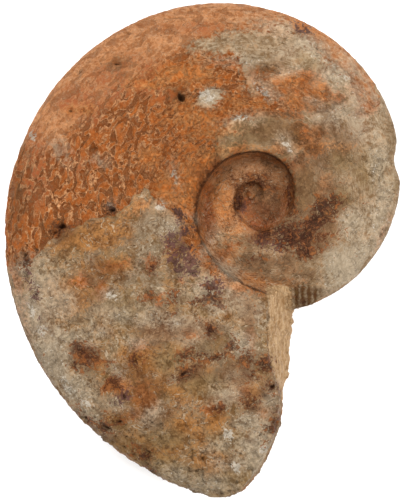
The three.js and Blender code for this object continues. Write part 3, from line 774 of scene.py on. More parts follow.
def underside_depths(points, angle, across, radius):
    """The finishes of the side that isn't in the photograph, as depths in pixels."""
    ledge = np.radians(angle - ledge_angle(np.clip(across, 0, 1))) * radius / PIXEL
    bent = points + 1.6 * wander(points, 2.6, (90, 91, 92))
    depths = {name: STAIN_SLOPE * (clouds(bent, 6.5, 50 + 3 * i) - 0.8) for i, name in enumerate(SPOTS)}
    for name in ("triangle", "strip", "striped", "crystal"):
        depths[name] = np.full(len(points), FAR_OUTSIDE)
    depths["coat"] = ledge + 30 * noise(points, 7, 41)
    depths["grey"] = np.radians(UNDERSIDE_GREY_TO - angle) * radius / PIXEL + 40 * noise(points, 9, 40)
    depths["grey_coil"] = 40 * noise(points, 6, 43)
    depths["salmon"] = (across - UNDERSIDE_SALMON_FROM) * OUTER_PIXELS
    depths["crumbly"] = (angle - UNDERSIDE_CRUMBLY_FROM) * 2 + 30 * noise(points, 5, 42)
    # Painted shade: a band just inside the rim, as on the upper side's umbilical wall.
    depths["wall"] = 8 - np.abs(across * INNER_PIXELS + 6)
    depths["brick"] = FAR_OUTSIDE - across * INNER_PIXELS
    depths["glow"] -= SOFT_PIXELS
    depths["ochre"] = STAIN_SLOPE * (noise(bent, 5, 44) - 0.35)
    depths["umber"] = STAIN_SLOPE * (clouds(bent, 5, 45) - 0.6)
    return depths


def finish_depths(sizes, points, spiral):
    """How deep inside each finish every point lies, in pixels, and how far it is on the upper side."""
    places = ragged(photo_places(points), points)
    over = points[:, 2] - lean_height(sizes, points[:, 0], points[:, 1])
    upper = smoothstep(over + SIDE_WANDER * noise(points, 2.4, 7), -SIDE_BLUR, SIDE_BLUR)
    below = underside_depths(points, *spiral)
    depths = {name: zone_depth(places, corners) for name, corners in ZONES.items()}
    for name, spots in SPOTS.items():
        depths[name] = np.max([spot_depth(places, spot) for spot in spots], axis=0)
    on_break = np.abs(points[:, 0] - break_face(points[:, 1], points[:, 2])) < BREAK_SKIN
    below["strip"] = np.where(on_break, depths["strip"], below["strip"])
    return {name: lerp(below[name], depth, upper) for name, depth in depths.items()}, upper


# Relief

def frills(sizes, points, angle, radius):
    """The weathered suture frills, from about -1 in a hollow to 1 on a crest, and the places they use.

    They run along the whorl and shrink with it.
    """
    turned = FRILL_REACH * np.radians(angle - 90)
    outward = FRILL_REACH * np.log(radius)
    places = np.column_stack([turned, FRILL_STRETCH * outward, FRILL_STRETCH * points[:, 2]])
    places /= sizes.frill_size * MM
    bent = places + FRILL_BEND * wander(places, 1.5, (8, 9, 10))
    return noise(bent, 1.0, 11) + 0.5 * noise(bent, 0.5, 12), places


def hollow_relief(places):
    """Height of the hollows and lumps in mm, below zero in a hollow."""
    height = np.zeros(len(places))
    for *spot, depth in HOLLOWS:
        inward = np.clip(spot_depth(places, spot) / min(spot[2:4]), 0, 1)
        height -= depth * smoothstep(inward, 0, 0.75)
    return height


def ground_shares(depths, across):
    """Each kind of ground's share at every point, from 0 to 1."""
    shares = {name: smoothstep(depth, -1.0, 1.0) for name, depth in depths.items()}
    shares["whole"] = np.ones(len(across))
    shares["coil"] = smoothstep(-across, 0, COIL_EDGE)
    shares["skin"] = np.maximum(shares["grey"] * (1 - SKIN_WORN * shares["rusty"]), shares["triangle"])
    plain = np.maximum.reduce([shares[name] for name in ("coat", "skin", "strip", "coil")])
    shares["frilly"] = (1 - plain) * (1 - OUTER_SMOOTHNESS * smoothstep(depths["salmon"], -10, 16))
    return shares


def coat_relief(points):
    """Lumps, veins and pits of the body chamber's coat, in mm."""
    lumps = COAT_LUMPS * (noise(points, 1.5, 22) + noise(points, 0.7, 23))
    veins = COAT_VEINS * (1 - smoothstep(np.abs(noise(points, 1.3, 33)), 0, 0.14))
    return lumps + veins - COAT_PITS * smoothstep(noise(points, 0.8, 24), 0.4, 0.7)


def strip_relief(points):
    """Fibres along the worn face beside the break, in mm."""
    stretched = points * FIBRE_STRETCH
    return 0.09 * noise(stretched, 0.55, 28) + 0.07 * noise(stretched, 0.28, 29)


def relief(sizes, points, normals, spiral, depths, upper):
    """How far each point stands out along its normal, in mm, and the attributes that colour it."""
    angle, across, radius = spiral
    shares = ground_shares(depths, across)
    frill, curl = frills(sizes, points, angle, radius)
    shifted = photo_places(points) + 1.2 * wander(points, 0.7, (20, 21))
    seen = upper * (across > SEEN_FROM)
    hollow = seen * hollow_relief(shifted)
    stripes = 0.5 + 0.5 * np.cos(2 * np.pi * (shifted[:, 0] - STRIPES_MIDDLE) / STRIPE_WIDTH)

    plates = smoothstep(frill, -0.3, 0.15) + 0.35 * frill - 0.8
    level_ground = smoothstep(np.abs(normals[:, 2]), 0.25, 0.7)
    height = sizes.frill_height * MM * shares["frilly"] * plates
    height += sizes.coat_height * MM * (shares["coat"] + SKIN_SHARE * shares["skin"]) * level_ground
    height += shares["coat"] * (1 + shares["crumbly"]) * coat_relief(points)
    for name, rise, size, seed, layers in ROUGHNESS:
        height += rise * shares[name] * clouds(points, size, seed, layers)
    height -= STAIN_DEPTH * shares["dark"] * (0.5 + noise(points, 0.5, 27))
    height += hollow - CRACK_DEPTH * seen * (1 - smoothstep(crack_distance(shifted), 0, CRACK_WIDTH))
    height += shares["strip"] * strip_relief(points) + STRIPE_HEIGHT * shares["striped"] * stripes
    height -= smoothstep(across, 0.9, 1.0) * (EDGE_WEAR + EDGE_ROUGHNESS * noise(points, 1.2, 32))

    # Painted shadow: a thin dark line just inside the rim, kept in the rim attribute.
    rim_shadow_line = np.exp(-(((across - RIM_SHADOW_PLACE) / RIM_SHADOW_WIDTH) ** 2))
    attributes = {name: np.clip(0.5 + depth / (2 * SOFT_PIXELS), 0, 1) for name, depth in depths.items()}
    attributes["frill"] = np.clip(0.5 + 0.5 * frill, 0, 1)
    attributes["curl"] = curl
    attributes["frilly"] = shares["frilly"]
    # The hollow attribute darkens the hollows by their depth: painted shade, with the dirt in them.
    attributes["hollow"] = np.clip(-3 * (hollow + 0.25), 0, 1)
    attributes["stripe"] = stripes
    attributes["coil"] = shares["coil"]
    attributes["rim"] = rim_shadow_line * smoothstep(angle, LAST_TURN, RIM_SHADOW_WHOLE)
    return height, attributes


def store(mesh, attributes):
    for name, values in attributes.items():
        wide = values.ndim > 1
        layer = mesh.attributes.new(name, "FLOAT_VECTOR" if wide else "FLOAT", "POINT")
        layer.data.foreach_set("vector" if wide else "value", values.astype(np.float32).ravel())


# The finished stone

def whole_shell(sizes):
    """The shell as one closed stone, still smooth: the broken body chamber and all that is inside it."""
    body = whorl(sizes, *BODY_CHAMBER)
    block = broken_off()
    apply_modifier(body, "BOOLEAN", operation="DIFFERENCE", solver="EXACT", object=block)
    bpy.data.objects.remove(block)
    stone = joined([body, whorl(sizes, *PHRAGMOCONE), nucleus(sizes)])
    apply_modifier(stone, "REMESH", mode="VOXEL", voxel_size=sizes.grain * MM)
    return stone


def place_in_box(mesh, points):
    """Puts the mesh's vertices at the points, no further out than the CAD part reaches."""
    lowest, highest = (np.array(corner) * MM for corner in CAD_BOX)
    set_points(mesh, np.clip(points, lowest, highest))


def weather(stone, sizes):
    """Gives the smooth stone its relief, and the attributes that its colours are drawn by."""
    points, normals = get_points(stone.data), get_normals(stone.data)
    spiral = spiral_places(sizes, points)
    depths, upper = finish_depths(sizes, points, spiral)
    height, attributes = relief(sizes, points, normals, spiral, depths, upper)
    store(stone.data, attributes)
    place_in_box(stone.data, points + height[:, None] * normals)


def thin_out(stone, most_triangles):
    """Leaves no more triangles than the most, where the surface needs them least."""
    triangles = sum(len(face.vertices) - 2 for face in stone.data.polygons)
    apply_modifier(stone, "DECIMATE", decimate_type="COLLAPSE", ratio=min(1.0, most_triangles / triangles))
    place_in_box(stone.data, get_points(stone.data))


# The stone's material

class Wire:
    """A shader socket that stands in sums: an expression on wires adds the nodes that work it out."""

    def __init__(self, socket):
        self.socket = socket

    def node(self, kind, settings=None, sockets=None, output=0):
        """Adds a node beside this wire, its settings first, and gives one of its outputs if it has any."""
        tree = self.socket.id_data
        made = tree.nodes.new(kind)
        for name, value in (settings or {}).items():
            setattr(made, name, value)
        for name, value in (sockets or {}).items():
            if isinstance(value, Wire):
                tree.links.new(value.socket, made.inputs[name])
            else:
                made.inputs[name].default_value = value
        return Wire(made.outputs[output]) if made.outputs else None

    def math(self, operation, first, second=0.0):
        return self.node("ShaderNodeMath", {"operation": operation}, {0: first, 1: second})

    def __add__(self, other):
        return self.math("ADD", self, other)

    __radd__ = __add__

    def __sub__(self, other):
        return self.math("SUBTRACT", self, other)

    def __rsub__(self, other):
        return self.math("SUBTRACT", other, self)

    def __mul__(self, other):
        if isinstance(other, tuple):
            return self.node("ShaderNodeVectorMath", {"operation": "MULTIPLY"}, {0: self, 1: other})
        return self.math("MULTIPLY", self, other)

    __rmul__ = __mul__

    def step(self, low, high):
        """0 below low and 1 above high, with a smooth rise between."""
        sockets = {"Value": self, "From Min": low, "From Max": high}
        return self.node("ShaderNodeMapRange", {"interpolation_type": "SMOOTHSTEP"}, sockets)

    def blend(self, first, second):
        """The first colour where this wire is 0 and the second where it is 1."""
        sockets = {0: self, 6: first, 7: second}
        return self.node("ShaderNodeMix", {"data_type": "RGBA"}, sockets, output=2)

    def noise(self, scale, detail=2.0, roughness=0.5, distortion=0.0):
        """Noise about 0.5 on the places that this wire carries."""
        sockets = {
            "Vector": self, "Scale": scale, "Detail": detail,
            "Roughness": roughness, "Distortion": distortion,
        }
        return self.node("ShaderNodeTexNoise", None, sockets)


class Patterns:
    """The stone's natural patterns, as wires from 0 to 1, and the ways that its finishes are mixed."""

    def __init__(self, place, colours):
        self.place = place
        self.colours = colours
        self.patchy = self.cloud(2.6, 4.0, 0.6, 0.5)
        self.blotch = self.cloud(1.5, 4.0, 0.65, 0.6)
        self.mottle = self.cloud(0.8, 4.0, 0.65, 0.8)
        self.speck = self.cloud(0.4, 3.0, 0.7, 0.4)
        self.grain = self.cloud(0.17, 2.0, 0.7)
        self.rough = 0.5 * self.speck + 0.5 * self.mottle + 0.3 * self.blotch + 0.25 * self.grain - 0.275
        self.soft = 0.3 * self.speck + 0.55 * self.mottle + 0.5 * self.blotch + 0.15 * self.grain - 0.25
        self.fringe = 0.7 * self.patchy + 1.1 * self.mottle + 1.3 * self.speck - 1.55
        # Sparse pale specks: painted glints, partly whitish crystal grains.
        glint_cloud = self.cloud(0.33, 2.0, 0.7, 0.8)
        self.bright = glint_cloud.step(0.6, 0.7)
        self.dull = 1.0 - glint_cloud.step(0.34, 0.44)
        self.fibres = (place * (1.0, 0.1, 1.0)).noise(MM / 0.3)
        self.coil = self.named("coil")
        self.mark_coat()
        self.mark_frills()

    def mark_coat(self):
        """Overlapping flakes with pale curving edges, partly painted highlight, thin seams and round pits.
        """
        levels = self.cloud(3.4, 3.0, 0.5, 0.6)
        self.flakes = levels.step(0.455, 0.475) + levels.step(0.535, 0.555)
        edges = self.line(levels, 0.47, 0.01) + self.line(levels, 0.55, 0.01)
        self.highlit_winding = edges * self.blotch.step(0.42, 0.54)
        self.seams = self.line(self.cloud(1.7, 2.0, 0.5, 2.2), 0.47, 0.022) * self.patchy.step(0.44, 0.54)
        cells = self.place.node("ShaderNodeTexVoronoi", None, {"Vector": self.place, "Scale": MM / 0.8})
        self.pits = (1.0 - cells.step(0.1, 0.26)) * self.patchy.step(0.46, 0.56)

    def mark_frills(self):
        """Threads along the whorl; painted highlight on the frills' pale crests, painted shadow beside them
        and painted shade between.
        """
        curl = self.named("curl", "Vector")
        small_frill = curl.noise(2.1, 3.0, 0.6, 1.2)
        self.lengthwise = (curl * (0.22, 1.0, 1.0)).noise(1.5, 3.0, 0.6)
        self.threads = (curl * (0.2, 1.0, 1.0)).noise(3.6, 3.0, 0.6, 0.6)
        self.frilly = self.named("frilly")
        frill = self.named("frill") + 0.5 * (small_frill - 0.5)
        # Painted highlight on the frills' crests, painted shadow beside them, and painted shade in their
        # low parts.
        self.highlit_lips = self.line(frill, 0.49, 0.09) * self.rough.step(0.34, 0.54)
        self.shadow_hems = self.line(frill, 0.4, 0.08) * self.mottle.step(0.44, 0.56)
        self.small_highlit_lips = self.line(small_frill, 0.52, 0.04) * self.mottle.step(0.4, 0.6)
        self.shaded_recess = 1.0 - frill.step(0.3, 0.46)

    def cloud(self, size, detail=3.0, roughness=0.55, distortion=0.0):
        """Noise about 0.5 with one rise or dip to each size, in mm."""
        return self.place.noise(MM / size, detail, roughness, distortion)

    def named(self, name, output="Fac"):
        """One of the stone's own attributes."""
        return self.place.node("ShaderNodeAttribute", {"attribute_name": name}, output=output)

    def colour(self, name):
        return (*getattr(self.colours, name), 1.0)

    def mottled(self, dark, light):
        """A finish's darker and lighter colours, mixed by the stone's grain."""
        return self.rough.step(0.33, 0.67).blend(self.colour(dark), self.colour(light))

    def smeared(self, dark, light):
        """A finish's darker and lighter colours, in softer and larger blotches."""
        return self.soft.step(0.36, 0.64).blend(self.colour(dark), self.colour(light))

    def patch(self, name, blur=0.08, wander=0.6, middle=0.5):
        """A finish's share at each place, with a ragged edge."""
        return (self.named(name) + wander * self.fringe).step(middle - blur, middle + blur)

    def line(self, wire, middle, width):
        """1 where the wire passes the middle value and 0 where it is further off than the width."""
        off = wire - middle
        return 1.0 - off.math("ABSOLUTE", off).step(0.2 * width, width)


def layered(stone, layers):
    """A colour with others laid over it in turn, each given as its share of every place and its colour."""
    for share, colour in layers:
        stone = share.blend(stone, colour)
    return stone


def rust_finish(grain):
    """The orange sutured part, with painted highlight on its frills' crests and painted shade in the
    greyish hollows between.
    """
    outer = grain.named("salmon")
    hollows = grain.frilly * grain.shaded_recess
    return layered(grain.mottled("deep_rust", "rust"), [
        (0.9 * outer.step(0.3, 1.0), grain.mottled("deep_salmon", "salmon")),
        (0.85 * grain.patch("flush", 0.4, 0.6), grain.mottled("flush", "deep_salmon")),
        # Painted shade between the frills, painted shadow beside their crests and painted highlight on
        # them.
        (0.75 * hollows, grain.mottled("deep_rust", "shaded_recess")),
        (0.6 * hollows * grain.blotch.step(0.46, 0.56), grain.mottled("pit_dirt_and_shade", "shaded_recess")),
        (0.8 * grain.frilly * grain.shadow_hems, grain.mottled("pit_dirt_and_shade", "flush")),
        (0.65 * grain.frilly * grain.small_highlit_lips, grain.colour("tan")),
        (0.85 * grain.frilly * grain.highlit_lips, grain.colour("tan")),
        (0.35 * outer.step(0.2, 0.8) * grain.small_highlit_lips, grain.colour("crust")),
        (0.3 * outer.step(0.2, 0.8) * grain.shaded_recess, grain.colour("shaded_recess")),
    ])


def coat_finish(grain):
    """The grey-tan coat of the body chamber, with yellow-brown and bluish blotches and thin lines."""
    ochre = grain.smeared("deep_ochre", "ochre")
    return layered(grain.smeared("deep_coat", "coat"), [
        (0.5 * (1.0 - grain.patchy.step(0.4, 0.5)), grain.smeared("deep_olive", "olive")),
        (0.45 * grain.blotch.step(0.5, 0.58), ochre),
        (0.16 * grain.flakes, grain.colour("slate")),
        (0.3 * grain.mottle.step(0.54, 0.62), grain.colour("deep_coat")),
        (0.85 * grain.patch("ochre", 0.3, 0.8), ochre),
        (0.7 * grain.patch("slate", 0.25, 1.0), grain.smeared("deep_coat", "slate")),
        (0.65 * grain.highlit_winding, grain.colour("crust")),
        (0.5 * grain.seams, grain.colour("pit_dirt_and_shade")),
        (0.5 * grain.pits, grain.colour("pit_dirt_and_shade")),
        (0.4 * grain.bright, grain.colour("crust")),
        (0.3 * grain.dull, grain.colour("pit_dirt_and_shade")),
    ])


def grey_finish(grain):
    """The grey-tan skin of the older part, with streaks and threads along the whorl."""
    return layered(grain.smeared("deep_grey", "grey"), [
        (0.4 * grain.blotch.step(0.52, 0.62), grain.smeared("deep_ochre", "ochre")),
        (0.4 * grain.lengthwise.step(0.5, 0.6), grain.colour("deep_grey")),
        (0.7 * grain.patch("ochre", 0.3, 1.0), grain.mottled("rust", "tan")),
        (0.7 * grain.patch("slate", 0.25, 1.0), grain.smeared("grey", "slate")),
        (0.5 * grain.threads.step(0.56, 0.66), grain.colour("crust")),
        (0.4 * (1.0 - grain.threads.step(0.34, 0.44)), grain.colour("deep_olive")),
        (0.3 * grain.highlit_winding, grain.colour("crust")),
        (0.25 * grain.dull, grain.colour("deep_olive")),
    ])


def inner_finish(grain):
    """The whorls inside the umbilicus."""
    return layered(grain.mottled("deep_inner", "inner"), [
        (grain.patch("grey_coil", 0.2, 0.9), grain.smeared("deep_grey", "coil_grey")),
        # Painted light on the inner whorl's lit crest, in the light orange-tan.
        (0.85 * grain.patch("glow", 0.25, 0.8), grain.mottled("rust", "glow")),
        (0.85 * grain.patch("brick", 0.2, 0.8), grain.mottled("wall", "brick")),
        (0.45 * grain.threads.step(0.54, 0.64), grain.colour("crust")),
        (0.55 * (1.0 - grain.threads.step(0.36, 0.48)), grain.mottled("dark", "wall")),
        (0.5 * grain.seams, grain.colour("dark")),
        (0.4 * grain.dull, grain.colour("pit_dirt_and_shade")),
        (0.5 * grain.highlit_winding, grain.colour("crust")),
    ])


def strip_finish(grain):
    """The tan worn face beside the break, with fibres along it, painted lighter to make up for the shade on
    its steep face.
    """
    mixed = (0.4 * grain.fibres + 0.6 * grain.rough).step(0.36, 0.64)
    return mixed.blend(grain.colour("deep_strip"), grain.colour("strip"))


def striped_finish(grain):
    """The small patch of dark and light stripes beside the break."""
    light = 0.45 * grain.named("stripe").step(0.2, 1.0)
    return light.blend(grain.mottled("pit_dirt_and_shade", "deep_olive"), grain.mottled("deep_olive", "crust"))


def films(grain):
    """The films that lie over the coat, the skin and the sutured part, as layers; the glow is partly
    painted light and the umber partly painted shade.
    """
    rusty = 0.12 + 0.6 * grain.patch("coat")
    return [
        (0.45 * grain.patch("pink", 0.3, 0.9), grain.smeared("pink", "crust")),
        (0.7 * grain.patch("olive", 0.3, 0.9), grain.smeared("deep_olive", "olive")),
        (rusty * grain.patch("rusty", 0.2, 1.0), grain.smeared("deep_rust", "rust")),
        # The umber film, partly painted shade inside the umbilical rim.
        (0.6 * grain.patch("umber", 0.3, 1.2), grain.mottled("pit_dirt_and_shade", "umber")),
        # Light orange-tan, partly painted light on lit crests and the rim's shoulder.
        (0.7 * grain.patch("glow", 0.3, 0.9), grain.mottled("rust", "glow")),
    ]


def spots(grain):
    """The whitish crystals and the dark and purplish spots, as layers."""
    dark = grain.rough.step(0.4, 0.72).blend(grain.colour("dark"), grain.smeared("brick", "umber"))
    dark = (0.35 * grain.mottle.step(0.52, 0.6)).blend(dark, grain.mottled("umber", "rust"))
    return [
        # Pale crust, partly painted light at the lower edges that face away from the lamps.
        (0.6 * grain.patch("pale", 0.4, 0.9), grain.smeared("slate", "crust")),
        (0.65 * grain.patch("pale", 0.15) * grain.bright, grain.colour("white")),
        (0.75 * grain.patch("crystal", 0.04, 0.5), grain.mottled("slate", "white")),
        (0.9 * grain.patch("plum", 0.07, 1.3, 0.46), grain.mottled("dark", "plum")),
        (0.9 * grain.patch("dark", 0.07, 1.3, 0.44), dark),
    ]


def stone_finish(grain):
    """All the finishes, each over the one before, where they lie on the stone."""
    grey = grey_finish(grain)
    skin = grain.patch("grey", 0.25, 0.9) * (1.0 - 0.9 * grain.patch("rusty", 0.25, 1.0))
    # Painted shadow along the umbilical rim, laid in the darkest colour.
    rim = grain.named("rim").step(0.3, 1.0) * grain.speck.step(0.3, 0.5)
    return layered(rust_finish(grain), [
        (skin, grey),
        (grain.patch("triangle", 0.12), grey),
        (grain.patch("coat", 0.04, 0.15), coat_finish(grain)),
        *films(grain),
        (grain.coil.step(0.2, 0.8), inner_finish(grain)),
        # Painted shade over the coil where the umbilicus shades it, with the umber film.
        (0.7 * grain.coil * grain.patch("umber", 0.3, 1.0), grain.mottled("dark", "umber")),
        # Painted shade on the umbilical wall, dark over its red-brown.
        (0.8 * grain.patch("wall", 0.2, 0.6), grain.mottled("dark", "wall")),
        (0.75 * rim, grain.colour("dark")),
        (grain.patch("strip", 0.08, 0.15), strip_finish(grain)),
        *spots(grain),
        (grain.patch("striped", 0.2, 0.8), striped_finish(grain)),
        # Painted shade in the pits and hollows, with their dirt.
        (0.7 * grain.named("hollow").step(0.2, 0.7), grain.colour("dark")),
    ])


def fine_relief(grain):
    """Height of the relief that is finer than the mesh, in mm."""
    fine = 0.06 * grain.speck + 0.02 * grain.grain + 0.12 * grain.mottle - 0.08 * grain.pits
    flaky = 0.1 * grain.flakes - 0.06 * grain.seams
    frills = 0.1 * grain.small_highlit_lips + 0.1 * grain.highlit_lips - 0.1 * grain.shadow_hems - 0.06 * grain.shaded_recess
    fibres = 0.05 * grain.patch("strip") * grain.fibres
    return fine + (1.0 - grain.frilly) * flaky + grain.frilly * frills + fibres


def stone_material(colours):
    material = bpy.data.materials.new("weathered stone")
    material.use_nodes = True
    tree = material.node_tree
    tree.nodes.clear()
    place = Wire(tree.nodes.new("ShaderNodeTexCoord").outputs["Object"])
    grain = Patterns(place, colours)
    bump = {"Height": fine_relief(grain), "Distance": 1 / MM, "Strength": 1.0}
    surface = {
        "Base Color": stone_finish(grain), "Roughness": 0.7 - 0.35 * grain.speck.step(0.4, 0.7),
        "Normal": place.node("ShaderNodeBump", None, bump), "Specular IOR Level": 0.06,
    }
    surface = place.node("ShaderNodeBsdfPrincipled", None, surface)
    surface.node("ShaderNodeOutputMaterial", None, {"Surface": surface})
    return material


def soft_lamp(name, power, size, place):
    """A square lamp that shines from a place, in metres, to where the stone lies."""
    lamp = bpy.data.lights.new(name, "AREA")
    lamp.energy = power
    lamp.size = size
    lamp_object = bpy.data.objects.new(name, lamp)
    lamp_object.location = place
    lamp_object.rotation_euler = Vector(place).to_track_quat("Z", "Y").to_euler()
    bpy.context.scene.collection.objects.link(lamp_object)


def camera_over(middle, level, distance, height):
    """A camera that looks straight down on a place, in mm, and sees this height of it."""
    lens = bpy.data.cameras.new("camera")
    lens.sensor_width = SENSOR_WIDTH
    lens.lens = SENSOR_WIDTH * distance / height
    lens.clip_end = CAMERA_REACH
    camera = bpy.data.objects.new("camera", lens)
    camera.location = Vector((*middle, level + distance)) / MM
    bpy.context.scene.collection.objects.link(camera)
    return camera


def plain_material(name, shown):
    material = bpy.data.materials.new(name)
    material.use_nodes = True
    shader = material.node_tree.nodes["Principled BSDF"]
    shader.inputs["Base Color"].default_value = (*shown, 1)
    shader.inputs["Roughness"].default_value = FLOOR_ROUGHNESS
    return material


def length(name, description, default):
    """A size in metres."""
    return FloatProperty(name=name, description=description, default=default, unit="LENGTH")


class AmmoniteSizes(PropertyGroup):
    outer_radius: length(
        "Outer radius", "Distance of the outer edge from the axis, straight to its right", 0.0209
    )
    growth: FloatProperty(
        name="Growth", description="How fast the spiral widens: the rise of its logarithm per radian",
        default=0.158, subtype="FACTOR",
    )
    half_width: FloatProperty(
        name="Half width", description="Half the whorl's thickness over its outer radius",
        default=0.2175, subtype="FACTOR",
    )
    axis_height: length("Axis height", "Height of the coil's middle over what the shell lies on", 0.0073)
    nucleus_radius: length("First chamber", "Radius of the round first chamber", 0.00095)
    coat_height: length(
        "Coat height", "How far the body chamber's coat stands over the sutured part", 0.00022
    )
    frill_size: length(
        "Frill size", "Length of a frill of the weathered sutures on the outer whorl", 0.0013
    )
    frill_height: length("Frill height", "Height of the frills' ridges", 0.00018)
    grain: length("Grain", "Edge of the cells that the stone is remeshed in", 0.0002)
    step_angle: FloatProperty(
        name="Step angle", description="Degrees between two sections of the spiral tube", default=1.0,
        min=0.2,
    )
    section_steps: IntProperty(
        name="Section steps", description="Faces round one section of the tube", default=130, min=26,
    )
    most_triangles: IntProperty(
        name="Most triangles", description="Triangles that the finished stone may have", default=196000,
        min=10000,
    )


def colour_property(name, description, default):
    return FloatVectorProperty(
        name=name, description=description, subtype="COLOR", size=3, min=0, max=1, default=default
    )


def stone_colour(name, description, *shown):
    """A colour of the stone, given as it shows on a screen, out of 255."""
    return colour_property(name, description, tone(*shown))


class StoneColours(PropertyGroup):
    deep_rust: stone_colour("Deep rust", "Darker orange-brown of the sutured part", 134, 68, 20)
    rust: stone_colour("Rust", "Orange of the sutured part", 200, 109, 41)
    deep_salmon: stone_colour("Deep salmon", "Darker orange near the outer edge", 168, 104, 58)
    salmon: stone_colour("Salmon", "Smooth pinkish orange near the outer edge", 226, 160, 108)
    flush: stone_colour("Flush", "Reddish parts of the outer edge", 174, 92, 52)
    # Tan: pale tan of the stone, also the painted highlight on the frills' crests.
    tan: stone_colour("Tan", "Light lips of the frills", 248, 184, 128)
    # Painted shade between the frills, greyish brown.
    shaded_recess: stone_colour("Recess", "Greyish brown between the frills", 136, 86, 48)
    # Dirt in pits and seams, also painted shade in the frills' hollows and painted shadow beside their
    # crests.
    pit_dirt_and_shade: stone_colour("Pits", "Dirt in the pits and hollows", 88, 50, 24)
    deep_coat: stone_colour("Deep coat", "Browner grain of the body chamber's coat", 118, 82, 46)
    coat: stone_colour("Coat", "Grey-tan coat of the body chamber", 182, 150, 110)
    deep_ochre: stone_colour("Deep ochre", "Darker grain of the yellow-brown blotches", 130, 79, 31)
    ochre: stone_colour("Ochre", "Yellow-brown blotches", 186, 124, 62)
    slate: stone_colour("Slate", "Bluish grey blotches", 158, 143, 120)
    crust: stone_colour("Crust", "Pale crust in specks and lines", 212, 190, 159)
    white: stone_colour("White", "Whitish crystals", 226, 214, 196)
    deep_grey: stone_colour("Deep grey", "Browner grain of the older part's skin", 136, 104, 70)
    grey: stone_colour("Grey", "Grey-tan skin of the older part", 188, 162, 130)
    coil_grey: stone_colour("Coil grey", "Pinkish grey of the umbilicus's floor", 198, 158, 118)
    deep_olive: stone_colour("Deep olive", "Darker grain of the greenish film", 104, 76, 40)
    olive: stone_colour("Olive", "Greenish brown film", 152, 122, 80)
    # Umber: dark olive-brown film, also painted shade inside the umbilicus.
    umber: stone_colour("Umber", "Dark olive-brown film", 130, 90, 54)
    pink: stone_colour("Pink", "Pinkish tan", 150, 114, 88)
    # Glow: light orange-tan, also painted light on the inner whorl's lit crest and beside the umbilicus.
    glow: stone_colour("Glow", "Bright orange-tan", 224, 154, 90)
    deep_inner: stone_colour("Deep inner", "Darker grain of the inner whorl", 138, 86, 46)
    inner: stone_colour("Inner", "Pinkish brown of the inner whorl", 200, 142, 96)
    brick: stone_colour("Brick", "Red-brown of the inner coil", 136, 50, 15)
    wall: stone_colour("Wall", "Dark red-brown of the umbilical wall", 178, 98, 44)
    # Painted light: the worn face's colours are lighter than it is, making up for the shade on its steep
    # face.
    deep_strip: stone_colour("Deep strip", "Darker grain of the worn face", 168, 126, 82)
    strip: stone_colour("Strip", "Tan of the worn face beside the break", 220, 184, 140)
    plum: stone_colour("Plum", "Purplish grey-brown stains", 112, 74, 68)
    # Darkest brown of the stains, also the painted shadow along the rim and painted shade in the hollows
    # and on the umbilical wall.
    dark: stone_colour("Dark", "Darkest brown stains", 52, 26, 12)


class StageSettings(PropertyGroup):
    floor_size: length("Floor size", "Width of the floor", 3.0)
    floor_colour: colour_property("Floor", "Colour of the floor", (0.93, 0.93, 0.93))
    sky_strength: FloatProperty(name="Sky strength", description="Light from all round", default=1.3, min=0)
    lamp_power: FloatProperty(
        name="Lamp power", description="Power of the soft lamp at the upper left", default=6.5,
        unit="POWER",
    )
    fill_power: FloatProperty(
        name="Fill power", description="Power of the weaker soft lamp at the right", default=5.0,
        unit="POWER",
    )
    lamp_size: length("Lamp size", "Width of the soft lamps", 0.35)


class FOSSIL_OT_ammonite(Operator):
    """Make the weathered ammonite, with its frills, coat, pits and stains, as one stone"""

    bl_idname = "fossil.ammonite"
    bl_label = "Ammonite"

    def execute(self, context):
        sizes = context.scene.ammonite_sizes
        stone = whole_shell(sizes)
        weather(stone, sizes)
        thin_out(stone, sizes.most_triangles)
        stone.data.transform(Matrix.Scale(1 / MM, 4))
        stone.data.polygons.foreach_set("use_smooth", [True] * len(stone.data.polygons))
        stone.data.materials.clear()
        stone.data.materials.append(stone_material(context.scene.stone_colours))
        stone.name = "ammonite_stone"
        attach(stone, "root")
        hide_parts("ammonite")
        return {"FINISHED"}


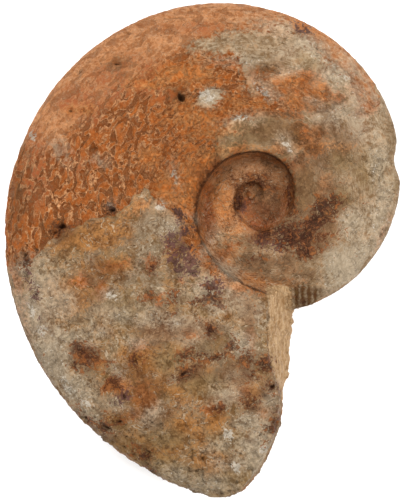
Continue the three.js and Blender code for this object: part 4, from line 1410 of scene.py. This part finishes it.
class FOSSIL_OT_stage(Operator):
    """Make the pale floor, the soft light and the camera that looks down on the stone"""

    bl_idname = "fossil.stage"
    bl_label = "Stage"

    def execute(self, context):
        scene = context.scene
        settings = scene.stage_settings
        bm = bmesh.new()
        bmesh.ops.create_grid(bm, x_segments=1, y_segments=1, size=settings.floor_size / 2)
        floor = as_object(bm, "floor")
        floor.data.materials.append(plain_material("pale floor", settings.floor_colour))

        world = bpy.data.worlds.new("soft sky")
        world.use_nodes = True
        sky = world.node_tree.nodes["Background"]
        sky.inputs["Color"].default_value = (1, 1, 1, 1)
        sky.inputs["Strength"].default_value = settings.sky_strength
        scene.world = world
        soft_lamp("soft lamp", settings.lamp_power, settings.lamp_size, LAMP_PLACE)
        soft_lamp("fill lamp", settings.fill_power, settings.lamp_size, FILL_PLACE)
        scene.camera = camera_over(VIEW_MIDDLE, VIEW_LEVEL, VIEW_DISTANCE, VIEW_HEIGHT)
        scene.view_settings.view_transform = "Standard"
        return {"FINISHED"}


class FOSSIL_PT_panel(Panel):
    """Sizes, colours and makers of the ammonite and its stage"""

    bl_label = "Fossil ammonite"
    bl_idname = "FOSSIL_PT_panel"
    bl_space_type = "VIEW_3D"
    bl_region_type = "UI"
    bl_category = "Fossil"

    def draw(self, context):
        for settings in (
            context.scene.ammonite_sizes, context.scene.stone_colours, context.scene.stage_settings
        ):
            box = self.layout.box()
            for name in settings.bl_rna.properties.keys():
                if name not in ("rna_type", "name"):
                    box.prop(settings, name)
        self.layout.operator(FOSSIL_OT_ammonite.bl_idname)
        self.layout.operator(FOSSIL_OT_stage.bl_idname)


CLASSES = (AmmoniteSizes, StoneColours, StageSettings, FOSSIL_OT_ammonite, FOSSIL_OT_stage, FOSSIL_PT_panel)


def register():
    for made in CLASSES:
        bpy.utils.register_class(made)
    bpy.types.Scene.ammonite_sizes = PointerProperty(type=AmmoniteSizes)
    bpy.types.Scene.stone_colours = PointerProperty(type=StoneColours)
    bpy.types.Scene.stage_settings = PointerProperty(type=StageSettings)


def unregister():
    del bpy.types.Scene.stage_settings
    del bpy.types.Scene.stone_colours
    del bpy.types.Scene.ammonite_sizes
    for made in reversed(CLASSES):
        bpy.utils.unregister_class(made)


def main():
    register()
    bpy.ops.fossil.stage()
    bpy.ops.fossil.ammonite()


if __name__ == "__main__":
    main()
